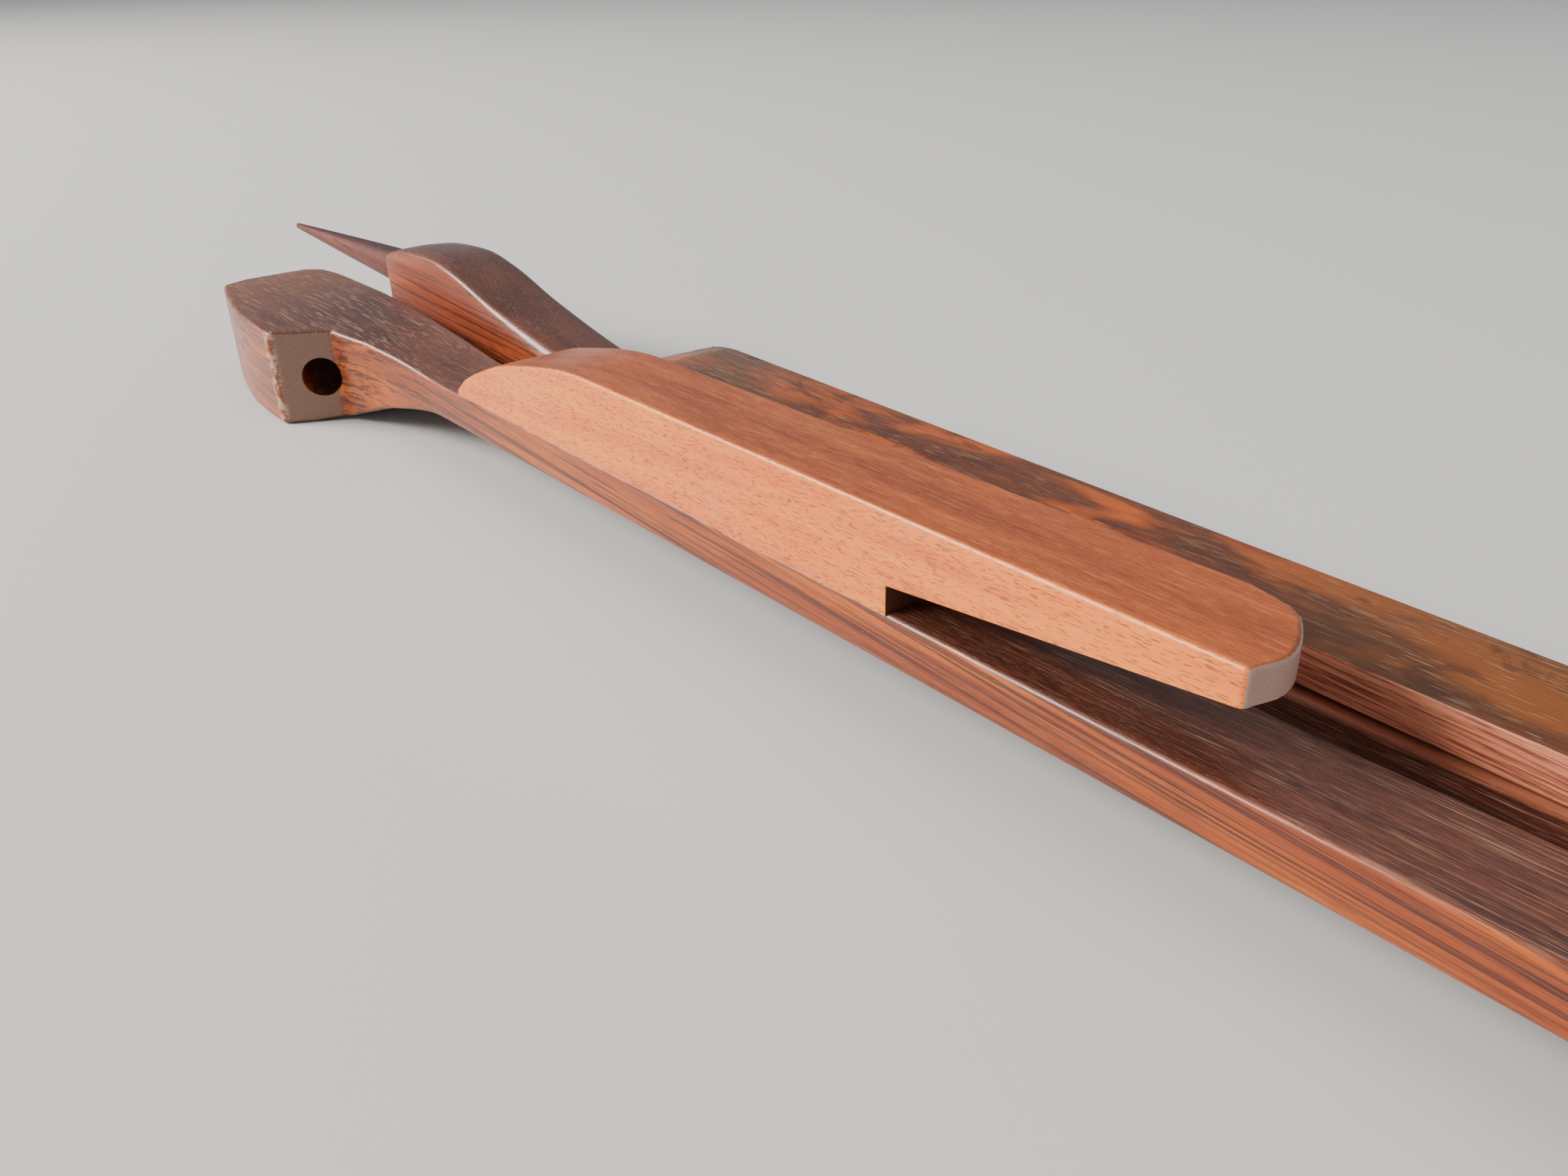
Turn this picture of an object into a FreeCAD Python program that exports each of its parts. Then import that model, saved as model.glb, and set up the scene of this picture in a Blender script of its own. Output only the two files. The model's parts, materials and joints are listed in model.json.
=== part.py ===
"""Folding hand loom bar set, folded flat.

A front arm and a rear arm lie side by side and fold about one pin at their round knuckles.
The front arm has a flared, bored head that hangs down as a foot, and carries a beech keeper
block with a tapered slot.  The rear arm has a head that stands up and ends in a long spike.  A
flat bar swings on top of the rear arm.

Units are millimetres.  +X runs from the spike to the knuckles, +Y from the front arm to the
rear arm, +Z up.  The pieces are laid out from a line 15 mm inside the front arm's head (x), the
front face of its shaft (y) and the underside of its shaft (z), and are then moved so that the
origin is the middle of the whole set's footprint, on the surface that it stands on.
"""
import FreeCAD, Part
import math
import os

V = FreeCAD.Vector
Y_UP = V(0, 1, 0)
Z_UP = V(0, 0, 1)

# ---- the two arms --------------------------------------------------------------------------
ARM_LENGTH = 474.0          # x = 0 (inside the front head) to the fold pin
ARM_WIDTH = 20.6
ARM_THICK = 9.4
ARM_GAP = 7.0               # between the two arms
GROUND_DROP = 12.1          # shaft underside down to the standing surface
ARM_ROUND = 2.0             # long edges of the front arm
REAR_ROUND = 4.0            # long edges of the rear arm, more worn

# ---- front head ----------------------------------------------------------------------------
HEAD_LENGTH = 60.5          # head end to the flare's outer corner
HEAD_RISE = 6.0             # head top above the shaft top
HEAD_FLARE = 21.7           # outer corner proud of the shaft's front face
HEAD_TAPER = 9.4            # how far the outer face runs back in by its far corner
HEAD_CHEEK = 4.0            # outer face's far corner, ahead of x = 0
HEAD_FORE = 15.0            # head's end, ahead of x = 0
SHOULDER_RUN = 8.3          # shoulder facet, along the arm
SHOULDER_ROOT = 6.8         # inner end of the facet, proud of the front face
NECK_LENGTH = 43.0          # from the facet's inner end to the plain shaft
HEAD_CORNER = 14.0          # rounded corner at the head's inner end
SOCKET_BORE = 10.8
SOCKET_DEPTH = 32.0
SOCKET_INSET = 4.4          # socket centre from the facet's inner end
SOCKET_RISE = 1.0           # socket centre above the shaft's underside

# ---- rear head and spike -------------------------------------------------------------------
REAR_HEAD_START = 29.0      # rear head's end, from x = 0
REAR_HEAD_LENGTH = 136.0
SPIKE_LENGTH = 103.0
SPIKE_ROOT = 12.0           # diameters
SPIKE_TIP = 1.8
SPIKE_HEIGHT = 15.8         # spike axis above the shaft underside
TENON_BORE = 9.0
TENON_LENGTH = 26.0
KEY_BORE = 3.0

# ---- keeper block --------------------------------------------------------------------------
BLOCK_START = 131.0
BLOCK_LENGTH = 220.0
BLOCK_HEIGHT = 18.9
BLOCK_NOSE = 62.0           # length of the rounded nose
SLOT_LENGTH = 66.0
SLOT_ROOT = 5.5             # slot height at its inner wall
SLOT_MOUTH = 13.0           # slot height at the open end
END_BULGE = 1.5
END_CORNER = 14.0           # how far the rounded inner corner reaches back
DOWEL_BORE = 6.0
DOWEL_DEPTH = 9.0           # into the block
DOWEL_SPOTS = (38.0, 118.0)

# ---- knuckles and fold pin -----------------------------------------------------------------
FOLD_PIN = 6.0
RUNNING = 0.05              # radial clearance of a turning pin
FACE_GAP = 0.05             # between faces that turn against each other
WASHER_WIDTH = 15.0
WASHER_THICK = 1.0
SPACER_WIDTH = 18.0
PIN_HEAD = 11.0
PIN_HEAD_HEIGHT = 3.0
KNUCKLE_ROUND = 1.2

# ---- swinging bar --------------------------------------------------------------------------
BAR_WIDTH = 22.5
BAR_THICK = 7.2
BAR_LIFT = 0.5              # bar underside above the rear arm
BAR_REACH = 277.0           # pivot to the free end
BAR_PIVOT_SETBACK = 42.0    # bar pivot, from the fold pin
BAR_SPLAY = 2.06            # degrees that the folded bar stands off the arm
BAR_CORNER = 8.0
BAR_ROUND = 1.4
BAR_PIN = 5.0
BAR_WASHER_WIDTH = 13.0
BAR_WASHER_THICK = 0.8
BAR_PIN_HEAD = 9.0
BAR_PIN_HEAD_HEIGHT = 2.4

# ---- rest peg ------------------------------------------------------------------------------
PEG_SPOT = 80.0
PEG_BORE = 5.0
PEG_SEAT = 14.0             # depth in the front arm
PEG_CLEARANCE = 0.3         # under the rear arm

# ---- worked out ----------------------------------------------------------------------------
HEAD_TOP = ARM_THICK + HEAD_RISE
REAR_Y = ARM_WIDTH + ARM_GAP
REAR_TOP = 27.5                                      # rear head's highest point
PIN_Z = (REAR_TOP - GROUND_DROP) / 2                 # so both heads are feet when unfolded
KNUCKLE_RADIUS = PIN_Z + GROUND_DROP
NECK_X = HEAD_LENGTH + SHOULDER_RUN
SHAFT_X = NECK_X + NECK_LENGTH
REAR_SHAFT_X = REAR_HEAD_START + REAR_HEAD_LENGTH
BLOCK_END = BLOCK_START + BLOCK_LENGTH
BAR_PIVOT_X = ARM_LENGTH - BAR_PIVOT_SETBACK
BAR_PIVOT_Y = REAR_Y + ARM_WIDTH / 2
BAR_Z = ARM_THICK + BAR_LIFT


def curve(points, start=None, end=None):
    """A smooth curve through the points, tangent to start and end where they are given."""
    spline = Part.BSplineCurve()
    tangents = {}
    if start is not None:
        tangents["InitialTangent"] = start
    if end is not None:
        tangents["FinalTangent"] = end
    spline.interpolate(Points=points, **tangents)
    return spline.toShape()


def line(a, b):
    return Part.makeLine(a, b)


def arc(a, middle, b):
    return Part.Arc(a, middle, b).toShape()


def prism(edges, along):
    """The solid that a closed outline sweeps along a straight line."""
    return Part.Face(Part.Wire(edges)).extrude(along)


def cylinder(diameter, length, base, axis):
    return Part.makeCylinder(diameter / 2, length, base, axis)


def side(x, z, y=0.0):
    return V(x, y, z)


def plan(x, y, z=0.0):
    return V(x, y, z)


def shaft(start, y, rounding):
    """Plain stretch of an arm: a bar with rounded long edges, up to the fold pin."""
    bar = Part.makeBox(ARM_LENGTH - start, ARM_WIDTH, ARM_THICK, V(start, y, 0))
    return bar.makeFillet(rounding, [edge for edge in bar.Edges if edge.BoundBox.XLength > ARM_WIDTH])


def knuckle(y):
    """Round knuckle disc about the fold pin; it rolls on the surface at any fold angle."""
    disc = cylinder(2 * KNUCKLE_RADIUS, ARM_WIDTH, V(ARM_LENGTH, y, PIN_Z), Y_UP)
    rims = [edge for edge in disc.Edges if edge.BoundBox.ZLength > KNUCKLE_RADIUS and len(edge.Vertexes) == 1]
    return disc.makeFillet(KNUCKLE_ROUND, rims)


def front_arm_side():
    """Side outline: foot, cove, shaft and the slow rise to the head's top."""
    foot_x = NECK_X - 3
    cove = curve([side(foot_x, -GROUND_DROP), side(NECK_X + 10, -GROUND_DROP * 0.66),
                  side(NECK_X + 24, -GROUND_DROP * 0.32), side(SHAFT_X + 6, 0)],
                 start=V(1, 0, 0.25), end=V(1, 0, 0))
    rise = curve([side(SHAFT_X + 8, ARM_THICK), side(NECK_X + 24, ARM_THICK + HEAD_RISE * 0.5),
                  side(NECK_X, ARM_THICK + HEAD_RISE * 0.78), side(HEAD_LENGTH * 0.7, HEAD_TOP)],
                 start=V(-1, 0, 0), end=V(-1, 0, 0))
    crown = curve([side(HEAD_LENGTH * 0.7, HEAD_TOP), side(0, HEAD_TOP - 0.3), side(-HEAD_FORE, HEAD_TOP - 2.6)],
                  start=V(-1, 0, 0))
    return [line(side(-HEAD_FORE, -GROUND_DROP), side(foot_x, -GROUND_DROP)), cove,
            line(side(SHAFT_X + 6, 0), side(SHAFT_X + 8, 0)),
            line(side(SHAFT_X + 8, 0), side(SHAFT_X + 8, ARM_THICK)), rise, crown,
            line(side(-HEAD_FORE, HEAD_TOP - 2.6), side(-HEAD_FORE, -GROUND_DROP))]


def front_arm_plan():
    """Plan outline: bellied outer face, slanted end, rounded inner corner, shoulder facet, hollow neck."""
    low = -GROUND_DROP - 1
    cheek_y = HEAD_TAPER - HEAD_FLARE
    neck = curve([plan(SHAFT_X, 0, low), plan(NECK_X + 16, -SHOULDER_ROOT * 0.45, low),
                  plan(NECK_X, -SHOULDER_ROOT, low)], start=V(-1, 0, 0))
    belly = curve([plan(HEAD_LENGTH, -HEAD_FLARE, low), plan(HEAD_LENGTH * 0.6, -HEAD_FLARE + 0.6, low),
                   plan(-HEAD_CHEEK, cheek_y, low)])
    corner = curve([plan(-HEAD_FORE, ARM_WIDTH * 0.18, low), plan(-HEAD_FORE * 0.62, ARM_WIDTH * 0.76, low),
                    plan(HEAD_CORNER, ARM_WIDTH, low)],
                   start=V(0, 1, 0), end=V(1, 0, 0))
    return [line(plan(ARM_LENGTH, 0, low), plan(SHAFT_X, 0, low)), neck,
            line(plan(NECK_X, -SHOULDER_ROOT, low), plan(HEAD_LENGTH, -HEAD_FLARE, low)), belly,
            line(plan(-HEAD_CHEEK, cheek_y, low), plan(-HEAD_FORE, ARM_WIDTH * 0.18, low)), corner,
            line(plan(HEAD_CORNER, ARM_WIDTH, low), plan(ARM_LENGTH, ARM_WIDTH, low)),
            line(plan(ARM_LENGTH, ARM_WIDTH, low), plan(ARM_LENGTH, 0, low))]


def socket_axis():
    """Mouth centre of the spike socket and the direction that points out of it."""
    run = V(-SHOULDER_RUN, -(HEAD_FLARE - SHOULDER_ROOT), 0).normalize()
    mouth = V(NECK_X, -SHOULDER_ROOT, SOCKET_RISE) + run * SOCKET_INSET
    return mouth, V(-run.y, run.x, 0)


def front_arm():
    body = prism(front_arm_side(), V(0, 2 * HEAD_FLARE + ARM_WIDTH, 0))
    body.translate(V(0, -HEAD_FLARE - 1, 0))
    body = body.common(prism(front_arm_plan(), V(0, 0, HEAD_TOP + GROUND_DROP + 2)))
    body = body.fuse([shaft(SHAFT_X + 4, 0, ARM_ROUND), knuckle(0)])
    mouth, out = socket_axis()
    bored = body.cut(cylinder(SOCKET_BORE, SOCKET_DEPTH + SOCKET_BORE, mouth - out * SOCKET_DEPTH, out))
    bored = bored.cut(cylinder(FOLD_PIN, ARM_WIDTH, V(ARM_LENGTH, 0, PIN_Z), Y_UP))
    for spot in DOWEL_SPOTS:
        bored = bored.cut(cylinder(DOWEL_BORE, ARM_THICK, V(BLOCK_START + spot, ARM_WIDTH / 2, 0), Z_UP))
    return bored.cut(rest_peg())


def rest_peg():
    """Dowel in the front neck that the folded rear arm lies on."""
    z = -PEG_BORE / 2 - PEG_CLEARANCE
    base = V(PEG_SPOT, ARM_WIDTH - PEG_SEAT, z)
    return cylinder(PEG_BORE, PEG_SEAT + ARM_GAP + ARM_WIDTH - 2, base, Y_UP)


def keeper_block():
    """Beech block: rounded nose, D-shaped end and a slot that opens towards the knuckles."""
    top = ARM_THICK + BLOCK_HEIGHT
    slot_x = BLOCK_END - SLOT_LENGTH
    nose = curve([side(BLOCK_START, ARM_THICK), side(BLOCK_START + BLOCK_NOSE * 0.17, ARM_THICK + BLOCK_HEIGHT * 0.4),
                  side(BLOCK_START + BLOCK_NOSE * 0.47, ARM_THICK + BLOCK_HEIGHT * 0.74),
                  side(BLOCK_START + BLOCK_NOSE, top)], end=V(1, 0, 0))
    outline = [nose, line(side(BLOCK_START + BLOCK_NOSE, top), side(BLOCK_END, top)),
               line(side(BLOCK_END, top), side(BLOCK_END, ARM_THICK + SLOT_MOUTH)),
               line(side(BLOCK_END, ARM_THICK + SLOT_MOUTH), side(slot_x, ARM_THICK + SLOT_ROOT)),
               line(side(slot_x, ARM_THICK + SLOT_ROOT), side(slot_x, ARM_THICK)),
               line(side(slot_x, ARM_THICK), side(BLOCK_START, ARM_THICK))]
    body = prism(outline, V(0, ARM_WIDTH, 0))
    end = curve([plan(BLOCK_END - END_BULGE, 0), plan(BLOCK_END, ARM_WIDTH * 0.3),
                 plan(BLOCK_END - END_CORNER * 0.3, ARM_WIDTH * 0.8), plan(BLOCK_END - END_CORNER, ARM_WIDTH)])
    footprint = [end, line(plan(BLOCK_END - END_CORNER, ARM_WIDTH), plan(BLOCK_START - 1, ARM_WIDTH)),
                 line(plan(BLOCK_START - 1, ARM_WIDTH), plan(BLOCK_START - 1, 0)),
                 line(plan(BLOCK_START - 1, 0), plan(BLOCK_END - END_BULGE, 0))]
    body = body.common(prism(footprint, V(0, 0, top + 1)))
    for spot in DOWEL_SPOTS:
        body = body.cut(keeper_dowel(spot))
    return body


def keeper_dowel(spot):
    return cylinder(DOWEL_BORE, ARM_THICK + DOWEL_DEPTH, V(BLOCK_START + spot, ARM_WIDTH / 2, 0), Z_UP)


def rear_arm_side():
    """Side outline: head standing up, falling in one long sweep to the shaft."""
    x = REAR_HEAD_START
    rise = REAR_TOP - ARM_THICK
    sweep = curve([side(REAR_SHAFT_X, ARM_THICK), side(x + 103, ARM_THICK + rise * 0.24),
                   side(x + 70, ARM_THICK + rise * 0.575), side(x + 48, ARM_THICK + rise * 0.88),
                   side(x + 35, REAR_TOP), side(x + 15, ARM_THICK + rise * 0.96), side(x, ARM_THICK + rise * 0.72)],
                  start=V(-1, 0, 0), end=V(-0.9, 0, -0.6))
    return [line(side(x, 0), side(REAR_SHAFT_X, 0)),
            line(side(REAR_SHAFT_X, 0), side(REAR_SHAFT_X, ARM_THICK)), sweep,
            line(side(x, ARM_THICK + rise * 0.72), side(x, 0))]


def rear_arm():
    body = prism(rear_arm_side(), V(0, ARM_WIDTH, 0))
    body.translate(V(0, REAR_Y, 0))
    body = body.fuse([shaft(REAR_SHAFT_X - 4, REAR_Y, REAR_ROUND), knuckle(REAR_Y)])
    body = body.cut(cylinder(FOLD_PIN + 2 * RUNNING, ARM_WIDTH, V(ARM_LENGTH, REAR_Y, PIN_Z), Y_UP))
    body = body.cut(cylinder(BAR_PIN, ARM_THICK, V(BAR_PIVOT_X, BAR_PIVOT_Y, 0), Z_UP))
    return body.cut(spike_blank()).cut(spike_key())


def spike_blank():
    """Cone with a plain tenon, before the key hole is drilled."""
    root = V(REAR_HEAD_START, REAR_Y + ARM_WIDTH / 2, SPIKE_HEIGHT)
    cone = Part.makeCone(SPIKE_ROOT / 2, SPIKE_TIP / 2, SPIKE_LENGTH, root, V(-1, 0, 0))
    return cone.fuse(cylinder(TENON_BORE, TENON_LENGTH, root, V(1, 0, 0))).removeSplitter()


def spike_key():
    """Small dowel driven up through the rear head and the spike's tenon."""
    x = REAR_HEAD_START + TENON_LENGTH * 0.55
    return cylinder(KEY_BORE, SPIKE_HEIGHT + TENON_BORE / 2, V(x, REAR_Y + ARM_WIDTH / 2, 0), Z_UP)


def domed_pin(diameter, grip, base, axis, head, head_height):
    """Rivet pin: domed head before the base, plain shank along the axis."""
    shank = cylinder(diameter, grip, base, axis)
    radius = ((head / 2) ** 2 + head_height ** 2) / (2 * head_height)
    ball = Part.makeSphere(radius, base + axis * (radius - head_height))
    dome = ball.common(cylinder(head, head_height, base - axis * head_height, axis))
    return shank.fuse(dome).removeSplitter()


def ring(outer, bore, thick, base, axis):
    return cylinder(outer, thick, base, axis).cut(cylinder(bore, thick, base, axis))


def fold_hardware():
    """Pin, washers, spacer and burr on the fold axis."""
    front = -WASHER_THICK
    back = REAR_Y + ARM_WIDTH + FACE_GAP
    burr = back + WASHER_THICK
    centre = V(ARM_LENGTH, 0, PIN_Z)
    spacer = ring(SPACER_WIDTH, FOLD_PIN, ARM_GAP - FACE_GAP, centre + V(0, ARM_WIDTH, 0), Y_UP)
    return {
        "fold_pin": domed_pin(FOLD_PIN, burr + WASHER_THICK - front, centre + V(0, front, 0), Y_UP,
                              PIN_HEAD, PIN_HEAD_HEIGHT),
        "fold_washer_front": ring(WASHER_WIDTH, FOLD_PIN, WASHER_THICK, centre + V(0, front, 0), Y_UP),
        "fold_spacer": spacer,
        "fold_washer_rear": ring(WASHER_WIDTH, FOLD_PIN, WASHER_THICK, centre + V(0, back, 0), Y_UP),
        "fold_burr": ring(PIN_HEAD, FOLD_PIN, WASHER_THICK, centre + V(0, burr, 0), Y_UP),
    }


def top_bar():
    """Flat bar along -X from its pivot, then splayed; round tail, rounded free end."""
    half = BAR_WIDTH / 2
    free = -BAR_REACH
    cut = BAR_CORNER * (1 - math.sqrt(0.5))
    outline = [line(plan(0, -half), plan(free + BAR_CORNER, -half)),
               arc(plan(free + BAR_CORNER, -half), plan(free + cut, -half + cut), plan(free, -half + BAR_CORNER)),
               line(plan(free, -half + BAR_CORNER), plan(free, half - BAR_CORNER)),
               arc(plan(free, half - BAR_CORNER), plan(free + cut, half - cut), plan(free + BAR_CORNER, half)),
               line(plan(free + BAR_CORNER, half), plan(0, half)),
               arc(plan(0, half), plan(half, 0), plan(0, -half))]
    body = prism(outline, V(0, 0, BAR_THICK))
    rims = [edge for edge in body.Edges if edge.BoundBox.ZLength < 0.1]
    body = body.makeFillet(BAR_ROUND, rims)
    body = body.cut(cylinder(BAR_PIN + 2 * RUNNING, BAR_THICK, V(0, 0, 0), Z_UP))
    body.rotate(V(0, 0, 0), Z_UP, -BAR_SPLAY)
    body.translate(V(BAR_PIVOT_X, BAR_PIVOT_Y, BAR_Z))
    return body


def bar_hardware():
    """Pin, washers and burr on the swinging bar's pivot."""
    pivot = V(BAR_PIVOT_X, BAR_PIVOT_Y, 0)
    top = BAR_Z + BAR_THICK + FACE_GAP
    grip = top + BAR_WASHER_THICK + BAR_WASHER_THICK
    spacer = ring(BAR_WASHER_WIDTH, BAR_PIN, BAR_LIFT - FACE_GAP, pivot + V(0, 0, ARM_THICK), Z_UP)
    return {
        "bar_pivot_pin": domed_pin(BAR_PIN, grip, pivot + V(0, 0, top + BAR_WASHER_THICK), V(0, 0, -1),
                                   BAR_PIN_HEAD, BAR_PIN_HEAD_HEIGHT),
        "bar_washer_top": ring(BAR_WASHER_WIDTH, BAR_PIN, BAR_WASHER_THICK, pivot + V(0, 0, top), Z_UP),
        "bar_washer_middle": spacer,
        "bar_burr": ring(BAR_PIN_HEAD, BAR_PIN, BAR_WASHER_THICK, pivot + V(0, 0, -BAR_WASHER_THICK), Z_UP),
    }


def all_pieces():
    pieces = {"front_arm": front_arm(), "keeper_block": keeper_block(), "rest_peg": rest_peg(),
              "rear_arm": rear_arm(), "spike": spike_blank().cut(spike_key()), "spike_key": spike_key(),
              "top_bar": top_bar()}
    for number, spot in enumerate(DOWEL_SPOTS, start=1):
        pieces["keeper_dowel_%d" % number] = keeper_dowel(spot)
    pieces.update(fold_hardware())
    pieces.update(bar_hardware())
    return pieces


def main():
    os.makedirs("parts", exist_ok=True)
    pieces = all_pieces()
    whole = Part.makeCompound(list(pieces.values())).optimalBoundingBox(False)
    shift = V(-(whole.XMin + whole.XMax) / 2, -(whole.YMin + whole.YMax) / 2, -whole.ZMin)
    for name, shape in sorted(pieces.items()):
        shape.translate(shift)
        shape.exportStep("parts/%s.step" % name)
        print("%-20s solids %d volume %10.1f valid %s" % (name, len(shape.Solids), shape.Volume, shape.isValid()))
    mouth, out = socket_axis()
    print("size", whole.XLength, whole.YLength, whole.ZLength, "shift", shift)
    print("fold pin", V(ARM_LENGTH, 0, PIN_Z) + shift, "bar pivot", V(BAR_PIVOT_X, BAR_PIVOT_Y, BAR_Z) + shift)
    print("socket mouth", mouth + shift, "out", out)


main()
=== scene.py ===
"""Looks of the folding hand loom: two arms, a keeper block, a spike, a flat bar and brass pins.

Sizes are millimetres in the maker's layout: x from a line 15 mm inside the front head towards the
knuckles, y from the front face of the front shaft, z from the underside of the front shaft.  The
layout's place in the frame comes from the CAD nodes' boxes, and every mesh is stored in metres.
"""
import bmesh
import bpy
import json
import math
from mathutils import Matrix, Vector


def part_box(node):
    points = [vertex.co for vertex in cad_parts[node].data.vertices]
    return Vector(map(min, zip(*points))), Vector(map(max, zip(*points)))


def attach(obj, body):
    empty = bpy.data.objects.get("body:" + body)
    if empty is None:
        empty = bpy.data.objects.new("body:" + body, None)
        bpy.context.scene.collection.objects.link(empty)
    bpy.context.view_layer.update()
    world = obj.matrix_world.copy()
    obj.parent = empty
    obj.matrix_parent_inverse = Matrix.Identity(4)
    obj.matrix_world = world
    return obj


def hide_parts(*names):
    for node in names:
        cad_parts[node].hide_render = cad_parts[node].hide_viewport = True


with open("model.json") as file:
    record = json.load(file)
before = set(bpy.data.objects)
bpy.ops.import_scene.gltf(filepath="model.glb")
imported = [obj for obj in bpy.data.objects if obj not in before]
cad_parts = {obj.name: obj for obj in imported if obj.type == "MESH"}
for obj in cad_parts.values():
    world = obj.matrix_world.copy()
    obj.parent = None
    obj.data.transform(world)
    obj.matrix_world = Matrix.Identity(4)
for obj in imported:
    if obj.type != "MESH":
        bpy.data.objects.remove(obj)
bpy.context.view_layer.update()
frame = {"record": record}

MM = 0.001

# ---- sizes read from the frame -------------------------------------------------------------
_, front_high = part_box("front_arm")
rear_low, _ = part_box("rear_arm")
block_low, block_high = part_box("keeper_block")
spike_low, spike_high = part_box("spike")
pin_low, pin_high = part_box("fold_pin")
bar_pin_low, bar_pin_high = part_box("bar_pivot_pin")

ARM_WIDTH = (block_high.y - block_low.y) / MM
ARM_THICK = 9.4
ARM_LENGTH = 474.0

JOINTS = {joint["name"]: Vector(joint["pos_m"]) for joint in frame["record"]["behaviour"]["joints"]}
SOCKET = frame["record"]["mounts"][0]
ZERO = Vector((JOINTS["arm_fold"].x - ARM_LENGTH * MM, block_low.y, block_low.z - ARM_THICK * MM))
GROUND = ZERO.z / MM


def inward(point):
    """A frame point in the layout's millimetres."""
    return (Vector(point) - ZERO) / MM


REAR_Y = inward(rear_low).y
REAR_X = inward(rear_low).x
ARM_END = inward(front_high).x
FOLD = inward(JOINTS["arm_fold"])
KNUCKLE = GROUND + FOLD.z
PIVOT = inward(JOINTS["bar_swing"])
BLOCK_X = inward(block_low).x
BLOCK_END = inward(block_high).x
BLOCK_TOP = inward(block_high).z

# ---- sizes of the makers' details ----------------------------------------------------------
HEAD_LENGTH = 60.5      # from the layout's zero to the shoulder facet
HEAD_FORE = 15.0        # how far the head runs ahead of the layout's zero
HEAD_CORNER = 14.0      # where the head's rounded inner corner ends
FLARE = 21.7            # how far the head swells outwards
NECK_X = 68.8           # the facet's inner end
NECK_PROUD = 6.8        # how far the neck stands out of the shaft there
SHAFT_X = 111.8         # where the shaft runs straight
SLOT_LENGTH = 66.0
SLOT_HEIGHT = 5.5       # at the slot's inner wall
SLOT_RISE = 7.5         # how much higher its roof is at the block's end
BLOCK_CORNER = 14.0
BAR_WIDTH = 22.5
BAR_THICK = 7.2
BAR_REACH = 277.0       # pivot to free end
BAR_CORNER = 8.0
BAR_SPLAY = math.radians(2.06)
SPIKE_ROOT = 6.0        # radius
SPIKE_TIP = 0.9         # radius before the blunted end
TENON = 9.0             # diameter of the spike's tenon
FOLD_PIN = 6.0
BAR_PIN = 5.0
REST_PEG = 5.0
PIN_PLAY = 0.1          # what a turning bore has over its pin

# ---- how finely the shapes are made --------------------------------------------------------
MERGE = 0.04            # corners closer than this become one
NEAR_ENOUGH = 0.03      # how close to a bit's surface a new rim lies
KEEP_CLEAR = 0.6        # the nearest that a cut comes to a corner of the outline
OVERCUT = 4.0           # how far a bit or a slot's prism runs past the wood


# ---- shapes --------------------------------------------------------------------------------
def smooth_line(points):
    """A function of x that runs smoothly through (x, value) points, flat beyond its ends."""
    xs = [x for x, value in points]
    values = [value for x, value in points]
    steps = [(values[i + 1] - values[i]) / (xs[i + 1] - xs[i]) for i in range(len(xs) - 1)]
    slopes = [0.0]
    for before, after in zip(steps, steps[1:]):
        slopes.append(0.0 if before * after <= 0 else 2 * before * after / (before + after))
    slopes.append(0.0)

    def value_at(x):
        if x <= xs[0]:
            return values[0]
        if x >= xs[-1]:
            return values[-1]
        i = max(k for k in range(len(xs) - 1) if xs[k] <= x)
        width = xs[i + 1] - xs[i]
        t = (x - xs[i]) / width
        return ((1 + 2 * t) * (1 - t) ** 2 * values[i] + t * (1 - t) ** 2 * width * slopes[i]
                + t * t * (3 - 2 * t) * values[i + 1] + t * t * (t - 1) * width * slopes[i + 1])
    return value_at


def between(start, end, count):
    """Even steps from start to end, both included."""
    return [start + (end - start) * i / count for i in range(count + 1)]


def arc_points(centre, radius, start, end, count):
    """Points of an arc in plan; angles in degrees."""
    angles = [math.radians(a) for a in between(start, end, count)]
    return [(centre[0] + radius * math.cos(a), centre[1] + radius * math.sin(a)) for a in angles]


def knuckle_cuts():
    """Cuts across the round knuckle, even in angle."""
    angles = [math.radians(a) for a in between(0, 180, 24)]
    return [FOLD.x - KNUCKLE * math.cos(a) for a in angles[1:-1]]


def knuckle_height(x, drop=0.0):
    """Half the height of the round knuckle at x, less towards its two faces by drop."""
    return math.sqrt(max(KNUCKLE ** 2 - (x - FOLD.x) ** 2, 0.0)) * (1 - drop / KNUCKLE)


def eased(y, near, far, radius):
    """How far a flat drops where it rolls over into its two side faces."""
    inside = max(0.0, radius - min(y - near, far - y))
    return radius - math.sqrt(radius ** 2 - inside ** 2)


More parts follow.
